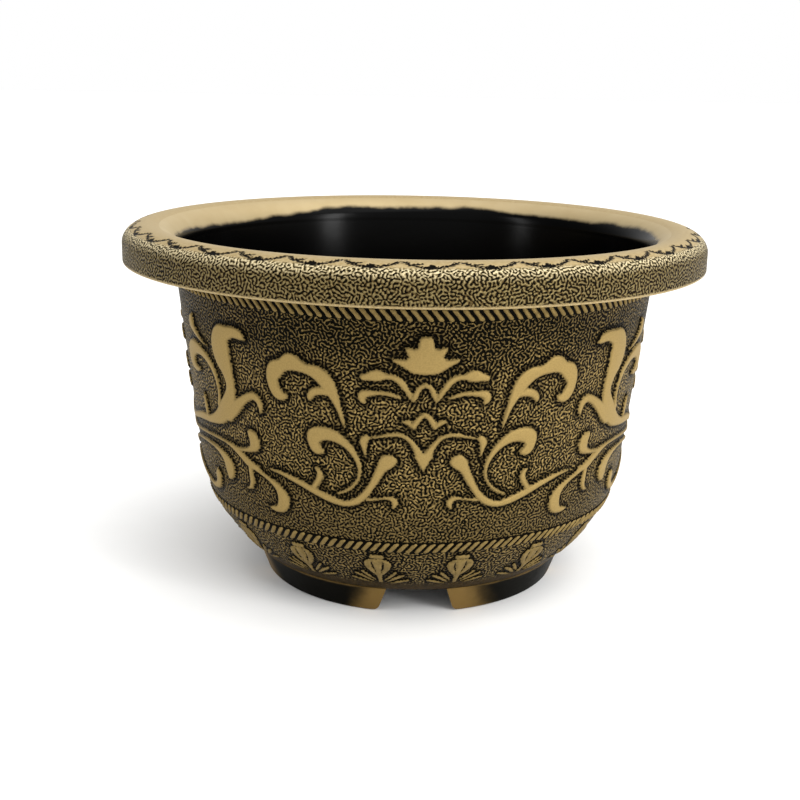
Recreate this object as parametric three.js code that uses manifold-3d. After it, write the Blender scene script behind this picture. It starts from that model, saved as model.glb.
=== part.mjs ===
// A footed planter pot: a flared bowl under a broad rolled rim, with two rope bands, a floor with
// drain holes and a foot ring that four wide notches divide into segments.
// Millimetres, +Z up, origin at the centre of the plane the foot stands on.

import * as THREE from 'three';
import { mergeVertices } from 'three/addons/utils/BufferGeometryUtils.js';
import Module from 'manifold-3d';

const wasm = await Module();
wasm.setup();

// ---- Driving dimensions ----

const overallHeight = 185.5;

// Rim: a crowned top that rolls over into a hanging skirt, hollow underneath.
const rimDiameter = 300;
const rimDepth = 18.8; // top of the rim to the bottom edge of the skirt
const crownDepth = 9.3; // height of the rounded shoulder above the skirt
const crestDiameter = 276; // the highest circle of the rim
const mouthDiameter = 263; // where the crowned top meets the smooth lip
const collarDepth = 13.5; // how far the smooth lip runs down into the pot
const rimThickness = 2.8;
const skirtEdgeRound = 0.9;

// Bowl: a nearly straight flare that curves in to the foot below the shoulder.
const wallTopDiameter = 250.2;
const shoulderDiameter = 226.4;
const shoulderHeight = 68;
const bellyRoundness = 2.3; // power of the curve from the shoulder to the foot
const wallThickness = 3;

// Foot ring and its notches.
const footHeight = 14.4;
const footTopDiameter = 167.4;
const footBottomDiameter = 157;
const footThickness = 3.5;
const notchCount = 4;
const notchTopWidth = 30;
const notchBottomWidth = 38;
const notchCornerRound = 3;

// Floor and drain holes.
const floorThickness = 3;
const drainHoleDiameter = 12;
const drainCircleDiameter = 96;
const drainHoleCount = 4;

// Rope bands: half-round rings seated in shallow grooves.
const ropeWidth = 6.6;
const ropeSeatDepth = 1.2;
const ropeProud = 1.1;
const ropeEdgeProud = 0.165; // how far the band still stands out at its two edges
const upperRopeDrop = 7; // skirt's bottom edge to the middle of the upper band
const lowerRopeHeight = 45.6; // middle of the lower band, which covers the seam of the bowl

// Clearance between neighbouring pieces.
const clearance = 0.3;

// How finely round shapes are divided.
const roundSegments = 60;
const holeSegments = 24;
const curveSteps = 6;
const lipSteps = 2; // the short stretch of the crown that runs down to the lip
const wallSteps = 8;
const baseSteps = 7;
const cornerSteps = 4;

// How far a cutting shape runs past what it cuts.
const overrun = 1;

// ---- Derived sizes ----

const rimRadius = rimDiameter / 2;
const crestRadius = crestDiameter / 2;
const mouthRadius = mouthDiameter / 2;
const wallTopRadius = wallTopDiameter / 2;
const shoulderRadius = shoulderDiameter / 2;
const footTopRadius = footTopDiameter / 2;
const footBottomRadius = footBottomDiameter / 2;
const skirtBottom = overallHeight - rimDepth;
const crownBottom = overallHeight - crownDepth;
const wallTop = overallHeight - collarDepth;
const upperRopeHeight = skirtBottom - upperRopeDrop;
const flareSlope = (wallTopRadius - shoulderRadius) / (wallTop - shoulderHeight);
const throatRadius = wallTopRadius - levelWidth(wallThickness, flareSlope);

// ---- The bowl's outline ----

// Radius of the straight flare, carried on below the shoulder.
function flareRadius(z) {
  return shoulderRadius + flareSlope * (z - shoulderHeight);
}

// How far the bowl's curve has still to run down to the foot, from 1 at the foot to 0 at the shoulder.
function bellyShare(z) {
  return Math.max(0, (shoulderHeight - z) / (shoulderHeight - footHeight));
}

function outerRadius(z) {
  const footInset = flareRadius(footHeight) - footTopRadius;
  return flareRadius(z) - footInset * bellyShare(z) ** bellyRoundness;
}

function outerSlope(z) {
  const footInset = flareRadius(footHeight) - footTopRadius;
  const bellySlope = (bellyRoundness * footInset) / (shoulderHeight - footHeight);
  return flareSlope + bellySlope * bellyShare(z) ** (bellyRoundness - 1);
}

// Level width of a layer of even thickness, such as a wall or a gap, that leans by the given slope.
function levelWidth(thickness, slope) {
  return thickness * Math.hypot(1, slope);
}

function innerRadius(z) {
  return outerRadius(z) - levelWidth(wallThickness, outerSlope(z));
}

// ---- Solids ----

function levels(low, high, steps) {
  return Array.from({ length: steps + 1 }, (_, i) => low + ((high - low) * i) / steps);
}

// Ring turned from a closed outline of [radius, height] points, listed anticlockwise.
function turned(outline) {
  const points = outline.map(([r, z]) => new THREE.Vector2(r, z));
  if (outline[0][0] > 0) points.push(points[0].clone());
  const geometry = new THREE.LatheGeometry(points, roundSegments);
  return geometry.rotateX(Math.PI / 2);
}

function toSolid(geometry) {
  const bare = geometry.index ? geometry.clone() : geometry;
  bare.deleteAttribute('normal');
  bare.deleteAttribute('uv');
  const merged = mergeVertices(bare, 1e-4);
  const mesh = new wasm.Mesh({
    numProp: 3,
    vertProperties: new Float32Array(merged.attributes.position.array),
    triVerts: new Uint32Array(merged.index.array),
  });
  mesh.merge();
  return new wasm.Manifold(mesh);
}

function toGeometry(solid) {
  const mesh = solid.getMesh();
  const geometry = new THREE.BufferGeometry();
  geometry.setAttribute('position', new THREE.BufferAttribute(mesh.vertProperties, mesh.numProp));
  geometry.setIndex(new THREE.BufferAttribute(mesh.triVerts, 1));
  geometry.computeVertexNormals();
  return geometry;
}

// Outline of an even-walled stretch of the bowl between two heights.
function wallOutline(low, high, steps) {
  const heights = levels(low, high, steps);
  const outside = heights.map((z) => [outerRadius(z), z]);
  const inside = heights.map((z) => [innerRadius(z), z]).reverse();
  return [...outside, ...inside];
}

// Outline of a rope band, or of the groove that it seats in when grown by the clearance.
function ropeOutline(middle, grown) {
  const low = middle - ropeWidth / 2 - grown;
  const high = middle + ropeWidth / 2 + grown;
  const heights = levels(low, high, curveSteps);
  const bulge = heights.map((z, i) => {
    const swell = Math.sin((Math.PI * i) / curveSteps);
    return [outerRadius(z) + grown + THREE.MathUtils.lerp(ropeEdgeProud, ropeProud, swell), z];
  });
  const seat = [
    [outerRadius(high) - ropeSeatDepth - grown, high],
    [outerRadius(low) - ropeSeatDepth - grown, low],
  ];
  return [...bulge, ...seat];
}

function ropeGroove(middle) {
  return toSolid(turned(ropeOutline(middle, clearance)));
}

// A quarter of an ellipse as [radius, height] points, from its side (0) to its top (a right angle).
function quarter(centre, base, width, height, from, to, steps) {
  return levels(from, to, steps).map((angle) => [
    centre + width * Math.cos(angle),
    base + height * Math.sin(angle),
  ]);
}

// ---- Sub-parts ----

// The shoulder and top of the rim, from the skirt's seam over the crest to the smooth lip.
function rimCrown() {
  const quarterTurn = Math.PI / 2;
  const shoulderWidth = rimRadius - crestRadius;
  const lipWidth = crestRadius - throatRadius;
  const lipEnd = Math.acos(-(crestRadius - mouthRadius - clearance) / lipWidth);
  const underLipWidth = lipWidth - rimThickness;
  const underEnd = Math.acos(-(crestRadius - mouthRadius - clearance) / underLipWidth);
  const top = [
    ...quarter(crestRadius, crownBottom, shoulderWidth, crownDepth, 0, quarterTurn, curveSteps),
    ...quarter(crestRadius, wallTop, lipWidth, collarDepth, quarterTurn, lipEnd, lipSteps).slice(1),
  ];
  const underDepth = crownDepth - rimThickness;
  const underWidth = shoulderWidth - rimThickness;
  const underLipDepth = collarDepth - rimThickness;
  const underside = [
    ...quarter(crestRadius, crownBottom, underWidth, underDepth, 0, quarterTurn, curveSteps),
    ...quarter(crestRadius, wallTop, underLipWidth, underLipDepth, quarterTurn, underEnd, lipSteps).slice(1),
  ].reverse();
  return turned([...top, ...underside]);
}

// The smooth lip that rolls from the crowned top down to the bowl's wall.
function mouthCollar() {
  const lipWidth = crestRadius - throatRadius;
  const underWidth = crestRadius - wallTopRadius;
  const wallEnd = Math.PI; // the angle at which the lip meets the bowl's wall
  const topEnd = Math.acos(-(crestRadius - mouthRadius) / lipWidth);
  const underEnd = Math.acos(-(crestRadius - mouthRadius) / underWidth);
  const base = wallTop + clearance;
  const inside = quarter(crestRadius, base, lipWidth, collarDepth - clearance, topEnd, wallEnd, curveSteps);
  const underDepth = collarDepth - clearance - rimThickness;
  const outside = quarter(crestRadius, base, underWidth, underDepth, underEnd, wallEnd, curveSteps);
  return turned([...inside, ...outside.reverse()]);
}

// The skirt that hangs from the crown, with a rounded bottom edge.
function rimSkirt() {
  const inner = rimRadius - rimThickness;
  const top = crownBottom - clearance;
  return turned([
    [inner + skirtEdgeRound, skirtBottom],
    [rimRadius - skirtEdgeRound, skirtBottom],
    [rimRadius, skirtBottom + skirtEdgeRound],
    [rimRadius, top],
    [inner, top],
    [inner, skirtBottom + skirtEdgeRound],
  ]);
}

// The bowl from its seam behind the lower rope band up to the mouth collar.
function bowlWall() {
  const wall = toSolid(turned(wallOutline(lowerRopeHeight + clearance / 2, wallTop, wallSteps)));
  const grooves = ropeGroove(lowerRopeHeight).add(ropeGroove(upperRopeHeight));
  return toGeometry(wall.subtract(grooves));
}

// The bowl's lower part, which curves in from the seam to the foot ring.
function bowlBase() {
  const base = toSolid(turned(wallOutline(footHeight, lowerRopeHeight - clearance / 2, baseSteps)));
  return toGeometry(base.subtract(ropeGroove(lowerRopeHeight)));
}

function ropeBand(middle) {
  return turned(ropeOutline(middle, 0));
}

function drainHole(x, y) {
  const radius = drainHoleDiameter / 2;
  const length = floorThickness + 2 * overrun;
  const hole = new THREE.CylinderGeometry(radius, radius, length, holeSegments);
  hole.rotateX(Math.PI / 2);
  hole.translate(x, y, footHeight + floorThickness / 2);
  return toSolid(hole);
}

// The floor: its tapered edge seats in the curve of the bowl's base, so it can't drop through.
function floorPlate() {
  const top = footHeight + floorThickness;
  const edge = (z) => [innerRadius(z) - levelWidth(clearance, outerSlope(z)), z];
  let plate = toSolid(
    turned([
      [0, footHeight],
      edge(footHeight),
      edge(top),
      [0, top],
    ]),
  );
  plate = plate.subtract(drainHole(0, 0));
  for (let i = 0; i < drainHoleCount; i += 1) {
    const angle = (2 * Math.PI * (i + 0.5)) / drainHoleCount;
    const reach = drainCircleDiameter / 2;
    plate = plate.subtract(drainHole(reach * Math.cos(angle), reach * Math.sin(angle)));
  }
  return toGeometry(plate);
}

// The prism that cuts one notch, across the ring's front (-Y) side, narrower at the top.
function notchCutter() {
  const above = footHeight + overrun;
  const below = -overrun;
  const halfTop = notchTopWidth / 2;
  const halfBottom = notchBottomWidth / 2;
  const lean = (halfBottom - halfTop) / footHeight;
  const cornerX = halfBottom - lean * notchCornerRound;
  const outline = new THREE.Shape();
  outline.moveTo(-halfBottom - notchCornerRound, below);
  outline.lineTo(halfBottom + notchCornerRound, below);
  outline.lineTo(halfBottom + notchCornerRound, 0);
  outline.quadraticCurveTo(halfBottom, 0, cornerX, notchCornerRound);
  outline.lineTo(halfTop - lean * overrun, above);
  outline.lineTo(-halfTop + lean * overrun, above);
  outline.lineTo(-cornerX, notchCornerRound);
  outline.quadraticCurveTo(-halfBottom, 0, -halfBottom - notchCornerRound, 0);
  const depth = Math.max(footTopRadius, footBottomRadius) + overrun;
  const settings = { depth, bevelEnabled: false, curveSegments: cornerSteps };
  const prism = new THREE.ExtrudeGeometry(outline, settings);
  return prism.rotateX(Math.PI / 2);
}

// The stretch of the foot ring between two neighbouring notches, the first of them at the front.
function footSegment() {
  const top = footHeight - clearance;
  const topRadius = THREE.MathUtils.lerp(footBottomRadius, footTopRadius, top / footHeight);
  let ring = toSolid(
    turned([
      [footBottomRadius - footThickness, 0],
      [footBottomRadius, 0],
      [topRadius, top],
      [topRadius - footThickness, top],
    ]),
  );
  const step = (2 * Math.PI) / notchCount;
  for (const turn of [0, step]) {
    ring = ring.subtract(toSolid(notchCutter().rotateZ(turn)));
  }
  const reach = rimDiameter; // well outside the foot, so that the sector's corners clear the ring
  const wedge = new THREE.Shape();
  wedge.moveTo(0, 0);
  for (const turn of [0, step / 2, step]) {
    const angle = turn - Math.PI / 2;
    wedge.lineTo(reach * Math.cos(angle), reach * Math.sin(angle));
  }
  const sector = new THREE.ExtrudeGeometry(wedge, { depth: top + 2 * overrun, bevelEnabled: false });
  sector.translate(0, 0, -overrun);
  return toGeometry(ring.intersect(toSolid(sector)));
}

// ---- Materials ----

// Black plastic with brass-coloured paint rubbed over its grain.
function rubbedBrass(colour) {
  return new THREE.MeshStandardMaterial({ color: colour, roughness: 0.5, metalness: 0.3 });
}

// Bare black plastic, glossy from the mould.
function blackPlastic() {
  return new THREE.MeshStandardMaterial({ color: 0x14120f, roughness: 0.25, metalness: 0 });
}

// ---- The pot ----

const pot = new THREE.Group();

function addPiece(name, geometry, material) {
  const mesh = new THREE.Mesh(geometry, material);
  mesh.name = name;
  pot.add(mesh);
  return mesh;
}

addPiece('rim_crown', rimCrown(), rubbedBrass(0x8f7d55));
addPiece('rim_skirt', rimSkirt(), rubbedBrass(0x85744e));
addPiece('mouth_collar', mouthCollar(), rubbedBrass(0x9c8459));
addPiece('upper_rope_band', ropeBand(upperRopeHeight), rubbedBrass(0x7d6b43));
addPiece('bowl_wall', bowlWall(), rubbedBrass(0x6d6143));
addPiece('lower_rope_band', ropeBand(lowerRopeHeight), rubbedBrass(0x7d6b43));
addPiece('bowl_base', bowlBase(), rubbedBrass(0x5c5138));
addPiece('floor_plate', floorPlate(), blackPlastic());

const segment = footSegment();
for (let i = 0; i < notchCount; i += 1) {
  const foot = addPiece(`foot_segment_${i + 1}`, segment, rubbedBrass(0x4a3c26));
  foot.rotation.z = (2 * Math.PI * i) / notchCount;
}

export default pot;
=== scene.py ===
import math
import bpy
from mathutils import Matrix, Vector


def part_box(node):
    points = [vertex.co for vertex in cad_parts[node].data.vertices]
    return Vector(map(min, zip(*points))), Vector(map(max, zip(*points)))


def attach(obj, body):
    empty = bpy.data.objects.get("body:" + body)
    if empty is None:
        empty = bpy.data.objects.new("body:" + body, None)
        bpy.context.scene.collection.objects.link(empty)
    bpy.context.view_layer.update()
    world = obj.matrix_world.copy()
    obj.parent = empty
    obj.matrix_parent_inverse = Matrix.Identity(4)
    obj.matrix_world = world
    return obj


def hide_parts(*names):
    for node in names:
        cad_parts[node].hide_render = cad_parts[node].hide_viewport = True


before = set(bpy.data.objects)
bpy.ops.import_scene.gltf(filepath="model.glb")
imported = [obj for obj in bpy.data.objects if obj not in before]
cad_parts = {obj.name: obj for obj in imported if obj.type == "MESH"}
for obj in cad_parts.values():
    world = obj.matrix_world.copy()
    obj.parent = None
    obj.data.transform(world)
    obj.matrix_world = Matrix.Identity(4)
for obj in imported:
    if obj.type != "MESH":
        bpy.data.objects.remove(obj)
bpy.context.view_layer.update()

from types import SimpleNamespace

import bmesh
import bpy
import numpy as np
from bpy.props import FloatProperty, FloatVectorProperty, IntProperty, PointerProperty
from mathutils import Matrix, Vector

bl_info = {
    "name": "Rubbed Brass Planter",
    "version": (1, 0, 0),
    "blender": (4, 5, 0),
    "location": "3D View > Sidebar > Planter",
    "description": "Builds a footed planter pot in black plastic with rubbed brass paint",
    "category": "Object",
}

# Heights and radii of the moulding in millimetres. Those the frame knows are taken from it.
MM = 0.001
RIM_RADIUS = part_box("rim_skirt")[1].x / MM
RIM_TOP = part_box("rim_crown")[1].z / MM
SKIRT_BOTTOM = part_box("rim_skirt")[0].z / MM
CROWN_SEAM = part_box("rim_crown")[0].z / MM
WALL_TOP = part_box("mouth_collar")[0].z / MM
FOOT_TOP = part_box("foot_segment_1")[1].z / MM
FLOOR_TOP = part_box("floor_plate")[1].z / MM
CREST_RADIUS = 138.0
THROAT_RADIUS = 122.1
UNDER_LIP_RADIUS = 125.4
LIP_SEAM = 114.1  # degrees from outwards at which the crown meets the smooth lip
LINING_TOP = 158  # seam between the lip and the lining
LEAF_TIP_RADIUS = 146.0
EDGE_ROUND = 0.9
RIM_THICKNESS = 2.8
WALL_TOP_RADIUS = 125.1
SHOULDER_RADIUS = 113.2
SHOULDER_HEIGHT = 68.0
BELLY_ROUNDNESS = 2.3
WALL_THICKNESS = 3.0
FOOT_TOP_RADIUS = 83.7
FOOT_BOTTOM_RADIUS = 78.5
FOOT_THICKNESS = 3.5
NOTCH_TOP = 15.0
NOTCH_BOTTOM = 19.0
NOTCH_ROUND = 3.0
UPPER_ROPE_MIDDLE = 159.6
LOWER_ROPE_MIDDLE = 45.6
FLARE_SLOPE = (WALL_TOP_RADIUS - SHOULDER_RADIUS) / (WALL_TOP - SHOULDER_HEIGHT)

# The ornament is laid out on the wall unrolled at this radius: across is arc length, up is height.
LAYOUT_RADIUS = 115.0
HALF_TURN = math.pi * LAYOUT_RADIUS
QUARTER_TURN = HALF_TURN / 2
BUD_COUNT = 16
HALF_BUD = HALF_TURN / BUD_COUNT
FAR = 8.0  # distances from a shape are not followed past this

ROUND_COLUMNS = 1040  # columns of a piece that runs all the way round
GRAIN_DEPTH = 0.0006

# Node kinds and settings that many materials use.
MATH, MIX, RANGE = "ShaderNodeMath", "ShaderNodeMixRGB", "ShaderNodeMapRange"
NOISE, ATTRIBUTE = "ShaderNodeTexNoise", "ShaderNodeAttribute"
SMOOTH = {"interpolation_type": "SMOOTHSTEP"}
FLAT = {"noise_dimensions": "2D"}


def hex_linear(text):
    """Turns an sRGB hex colour into linear red, green and blue."""
    parts = [int(text[i:i + 2], 16) / 255 for i in (0, 2, 4)]
    return tuple(p / 12.92 if p <= 0.04045 else ((p + 0.055) / 1.055) ** 2.4 for p in parts)


class PlanterSizes(bpy.types.PropertyGroup):
    """Sizes of the moulded decoration."""
    relief_height: FloatProperty(
        name="Relief height", description="How far the scrollwork stands off the wall",
        default=0.0010, min=0.0, max=0.004, subtype="DISTANCE", unit="LENGTH")
    relief_edge: FloatProperty(
        name="Relief edge", description="Width of the slope round each scroll",
        default=0.0010, min=0.0004, max=0.003, subtype="DISTANCE", unit="LENGTH")
    # painted shade: width of the dark, thinly painted band beside each scroll
    shade_halo_width: FloatProperty(
        name="Halo width", description="Width of the unpainted shadow beside each scroll",
        default=0.0036, min=0.0, max=0.008, subtype="DISTANCE", unit="LENGTH")
    grain_pitch: FloatProperty(
        name="Grain pitch", description="Spacing of the crinkled grain's ridges",
        default=0.0017, min=0.001, max=0.006, subtype="DISTANCE", unit="LENGTH")
    upper_strands: IntProperty(
        name="Upper strands", description="Strands in the upper rope band", default=172, min=60, max=300)
    lower_strands: IntProperty(
        name="Lower strands", description="Strands in the lower rope band", default=160, min=60, max=300)
    overspray_depth: FloatProperty(
        name="Overspray depth", description="How far brass paint reaches down inside the mouth",
        default=0.0060, min=0.0, max=0.03, subtype="DISTANCE", unit="LENGTH")


class PlanterColours(bpy.types.PropertyGroup):
    """Colours of the paint and the plastic under it."""
    brass: FloatVectorProperty(
        name="Brass paint", description="Paint where it is thick, on the ridges and scrolls",
        default=hex_linear("8e7849"), size=3, min=0, max=1, subtype="COLOR")
    worn_brass: FloatVectorProperty(
        name="Thin brass paint", description="Paint where it is rubbed thin",
        default=hex_linear("4d4025"), size=3, min=0, max=1, subtype="COLOR")
    plastic: FloatVectorProperty(
        name="Black plastic", description="Bare plastic in the grooves",
        default=hex_linear("050401"), size=3, min=0, max=1, subtype="COLOR")
    # the rim's ridge paint; the skirt's ridges look duller than the roll's because of painted shade
    rubbed_brass: FloatVectorProperty(
        name="Rubbed brass paint", description="Duller paint on the skirt's ridges",
        default=hex_linear("706341"), size=3, min=0, max=1, subtype="COLOR")
    # painted highlight: this pale tone on the roll's ridges stands in for overhead light on the
    # upward-facing roll
    painted_highlight_brass: FloatVectorProperty(
        name="Pale brass paint", description="Highest ridges of the rim's roll, where hands polish it",
        default=hex_linear("cbbc97"), size=3, min=0, max=1, subtype="COLOR")
    polished_brass: FloatVectorProperty(
        name="Polished brass paint", description="Smooth thick paint on the lip",
        default=hex_linear("ac9b78"), size=3, min=0, max=1, subtype="COLOR")
    # partly brass dust, partly painted light: the bright tone at the foot's notch corners
    brass_dust_and_painted_light: FloatVectorProperty(
        name="Bronze mist", description="Thick paint dust on the foot's corners",
        default=hex_linear("6f5830"), size=3, min=0, max=1, subtype="COLOR")
    # also the low tone of the rim's skirt ridges, where it is painted shade
    smoke: FloatVectorProperty(
        name="Brown smoke", description="Thin paint dust over plastic near the foot",
        default=hex_linear("42331a"), size=3, min=0, max=1, subtype="COLOR")


def sizes():
    return bpy.context.scene.planter_sizes


def colours():
    """The scene's colours, each with full alpha."""
    group = bpy.context.scene.planter_colours
    return SimpleNamespace(**{key: opaque(getattr(group, key)) for key in PlanterColours.__annotations__})


def flare_radius(height):
    return SHOULDER_RADIUS + FLARE_SLOPE * (height - SHOULDER_HEIGHT)


def outer_radius(height):
    """The bowl's outer profile: a straight flare above the shoulder and a rounded belly below it."""
    height = np.asarray(height, float)
    share = np.clip((SHOULDER_HEIGHT - height) / (SHOULDER_HEIGHT - FOOT_TOP), 0, None)
    tuck = flare_radius(FOOT_TOP) - FOOT_TOP_RADIUS
    return flare_radius(height) - tuck * share ** BELLY_ROUNDNESS


def inner_radius(height):
    step = 0.1
    slope = (outer_radius(height + step) - outer_radius(height - step)) / (2 * step)
    return outer_radius(height) - WALL_THICKNESS * np.hypot(1, slope)


def smooth_step(value):
    value = np.clip(value, 0, 1)
    return value * value * (3 - 2 * value)


def quarter_arc(radius, height, wide, tall, start, stop, count):
    """Points of an elliptical arc in the profile plane, angles in degrees from outwards to up."""
    turn = np.radians(np.linspace(start, stop, count))
    return np.column_stack([radius + wide * np.cos(turn), height + tall * np.sin(turn)])


def run_length(profile):
    """Length run along a profile up to each of its points."""
    return np.concatenate([[0], np.cumsum(np.hypot(*np.diff(profile, axis=0).T))])


def even_spacing(profile, spacing):
    """Lays points evenly along a profile."""
    profile = np.asarray(profile, float)
    run = run_length(profile)
    keep = np.concatenate([[True], np.diff(run) > 1e-6])
    count = max(2, int(round(run[-1] / spacing)) + 1)
    at = np.linspace(0, run[-1], count)
    return np.column_stack([np.interp(at, run[keep], profile[keep, i]) for i in (0, 1)])


# ---- Ornament layout ----

# One half of each motif; the other half is its mirror image. Each knot is (across, up, half width).
SCROLL_STROKES = [
    # the pair of leaves beside the crest, and the arch and arms under it
    [(6, 122.8, .8), (8.3, 125.5, 1.3), (10.5, 128.8, 1.6), (13.5, 130.8, 1.4), (17, 131.2, 1.5),
     (20.5, 131.5, 2.8), (24, 130.8, 2), (26.3, 130.3, 1.6)],
    [(0, 127.5, 1), (2.5, 126, 1.1), (4, 122.5, 1.2), (4.8, 119.5, .4)],
    [(4.8, 119.8, .5), (6.5, 122, .9), (8, 125, 1)],
    # the second pair of leaves
    [(10.5, 121.2, .6), (13.5, 122.4, 1), (17, 123.2, 1), (20.5, 123.2, 1.1), (24, 123, 1.6),
     (26.8, 122, 2), (27, 119.8, 1.6), (26, 118.4, .8)],
    # the small arch with its side leaf
    [(0, 113.6, 1), (1.8, 112.2, 1.2), (3.4, 110, 1.3), (4.4, 108, 1.2), (4.8, 106.6, .4)],
    [(4.8, 107.2, .6), (7, 109.6, 1.2), (9.8, 110, .5)],
    # the arms that rise from the pointed drop, and the leaf that hangs from their ends
    [(.8, 90, 1.6), (2.2, 94.5, 1.8), (4.2, 98.3, 1.3), (7, 101.8, 1.1), (11, 103.6, 1),
     (15, 103.5, 1), (19, 102.6, .7), (23, 101.8, .6)],
    [(25.5, 101.5, 1.6), (26.8, 99.8, 1.9), (26.6, 97, 1.3), (26.2, 94, .7), (25.9, 91.8, .2)],
    # the tall C scroll with its hook
    [(35.3, 105.5, .3), (36.2, 109.5, 1), (37.8, 115, 1.4), (40.3, 121.5, 2.6), (43.3, 127, 3.6),
     (47.5, 130.6, 3.4), (52.5, 131.8, 2.5), (56.5, 133.2, 3.3), (60, 134.1, 4.2),
     (64, 132, 3.2), (68, 129.5, 4.2), (70, 125.5, 3.3), (69.5, 121, 3), (67.5, 118, 3),
     (65, 117, 2), (63.5, 117.5, 1.2)],
    [(42.5, 121.5, 1.5), (46, 122, 2), (49, 121.2, 2), (51, 119.2, 1.6), (51.3, 117.6, .9)],
    # the lower C scroll
    [(39.5, 72.6, .6), (35, 74.8, .8), (31.5, 78, .8), (29.3, 82, .8), (28.9, 86.5, 1),
     (30.2, 91, 1.3), (33, 95.5, 1.7), (36.5, 98.8, 2.2), (40.5, 101, 2.9), (45, 101.6, 3.4),
     (49.5, 100.3, 3.9), (50.5, 96.5, 2.9), (49, 93.6, 2.6), (46.5, 92.9, 1.3)],
    # the bulb and the long stem that leaves it
    [(13.2, 90.6, 1.4), (16, 90.3, 3.6), (18.8, 86.8, 2.4), (21.2, 82, 2), (24, 77, 1.7),
     (27, 72.8, 1.8), (31, 69.5, 1.8), (36, 67.9, 1.5), (41, 68.7, 1.8), (46, 70.3, 1.9),
     (52, 72.5, 1.8), (58, 74.8, 1.6), (64, 76.7, 1.4), (70, 78.2, 1), (76, 78.9, .6)],
    [(25.5, 70.9, .9), (20, 71.6, .6), (17, 72.2, .8), (14, 71.9, 1.3), (12.6, 70, 1.5),
     (13.3, 67.6, .8)],
    [(51.5, 74.5, 1.4), (49.3, 77.8, 1.5), (48.2, 80.5, 1.7), (48.8, 82.8, 1.3), (50.7, 84.2, .4)],
    # the side branch, its curls and hooks
    [(84, 77, 1.5), (90, 78.6, 2.2), (95, 81.4, 2), (100, 83.9, 1.8), (106, 85.3, 1.1),
     (114, 85.8, .9), (122, 85.6, .9), (132, 84.8, .9), (142, 83.6, .8), (152, 82.4, .9),
     (162, 82.6, 1.1), (171, 85, 1.3), (178, 90, 1.2)],
    [(86, 76.8, 1.2), (80, 74.6, 1.2), (75, 72.1, 1.5), (71.2, 69, 2.4), (69.4, 65, 3.5),
     (70.2, 61.3, 3.2), (73, 58.9, 2), (76.3, 58.5, 1.4), (79, 58.7, .4)],
    [(87.5, 95, 1.6), (85.2, 92.5, 3.2), (84.8, 89.3, 3.2), (87, 86.9, 1.9), (91, 85.4, 1.2),
     (96, 84.6, 1), (101, 84.3, 1.2)],
    [(89.6, 76, 1.6), (89.3, 72, 1.8), (89.4, 69, 1.6), (90.3, 66.8, 1.3), (92, 65.6, .8),
     (94.5, 64.9, .2)],
    [(108.7, 66.5, .9), (107.4, 69.3, 3.2), (107.3, 72.6, 4.2), (109.8, 76, 3.2),
     (114.5, 78.6, 2), (121, 79.9, 1.2), (130, 80.2, 1), (140, 79.2, .9), (150, 77.5, .8),
     (159, 75, 1), (167, 71.8, 1.4), (173, 68.5, 1.6)],
    [(121.8, 67.5, .8), (121.2, 64.5, 3), (122.3, 60.6, 2.5), (126, 57.8, 1.9), (131, 56.6, 1.6),
     (137, 57.2, 1.3), (144, 59.2, 1.2), (152, 62, 1.1), (160, 64.6, 1.3), (167, 65.6, 2),
     (172, 63.6, 2.6), (173.6, 60, 1.8)],
    # the great S leaf and the main stem
    [(84.8, 140.8, .5), (88, 142.6, 2.4), (92, 143.2, 2.8), (97, 142, 3.6), (101.5, 140, 5.5),
     (103, 134.5, 7), (102, 129, 6.2), (99.8, 124, 4.6), (98.2, 118.5, 3.6), (98.3, 113, 3.6),
     (100.5, 108, 4.6), (104.5, 102.8, 5), (109.5, 98.6, 4.2), (115, 96, 3), (122, 94, 2.2),
     (130, 93.3, 2.3), (140, 91.5, 1.9), (150, 89, 1.7), (160, 87.6, 1.6), (170, 89, 1.5),
     (180, 93, 1.4)],
    [(79, 106, .4), (78.5, 109.3, 1.5), (79.6, 112.3, 1.9), (82.5, 114, 2), (86, 112.9, 2.1),
     (90, 110.4, 2.4), (94, 107.3, 3), (98, 103.8, 3.4), (102, 100.8, 3.6)],
    # the third C scroll with its leaves
    [(109.8, 104.5, 1.6), (108.7, 108.5, 1.3), (108.6, 113, 1.2), (109.8, 118, 1.5),
     (112.3, 122.3, 1.9), (116.5, 125.8, 2.1), (121.5, 128, 2.5), (127, 129, 3.2),
     (132.5, 128.3, 4.3), (136.5, 125, 4.6), (136.5, 120.8, 3.6), (133, 118.3, 2.3),
     (129.5, 117.9, 1.5), (127, 118.6, .8)],
    [(115, 131.8, .3), (119, 133.3, .8), (123.5, 135.3, 1.3), (127.8, 138, 2), (130.5, 140.3, 2.8),
     (130.6, 142.8, 2.4), (129.4, 144.8, 1.3)],
    [(125, 97, 1.5), (125.3, 100, 1.7), (125.5, 103, 1.4), (126.5, 106, .6)],
    # the leaf spray where the two mirrored stems meet
    [(180, 96, 1.6), (176, 101, 1.6), (171, 105, 1.8), (165, 107, 1.6), (160, 105.5, 1),
     (157.5, 102.5, .5)],
    [(180, 104, 1.3), (177.5, 110, 1.6), (172.5, 115, 1.9), (166, 117, 1.8), (161, 115, 1.1),
     (158.6, 111.6, .4)],
    [(180, 112, 1.2), (178.5, 119, 1.9), (175.8, 126, 2.2), (170, 130.5, 2.3), (163, 130.8, 1.8),
     (158, 127.5, .8)],
]
CREST_OUTLINE = [
    (0, 150), (1.5, 150), (2.8, 149), (3.2, 146.5), (3.5, 144.8), (5, 144.2), (7, 145),
    (8.8, 144.8), (8.5, 143), (7.3, 140.5), (8.5, 139.3), (11, 139.5), (13.8, 139.8),
    (14.3, 138.5), (11, 136.5), (8, 134.5), (5.5, 132.8), (2, 132.3), (0, 132.3)]
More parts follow.
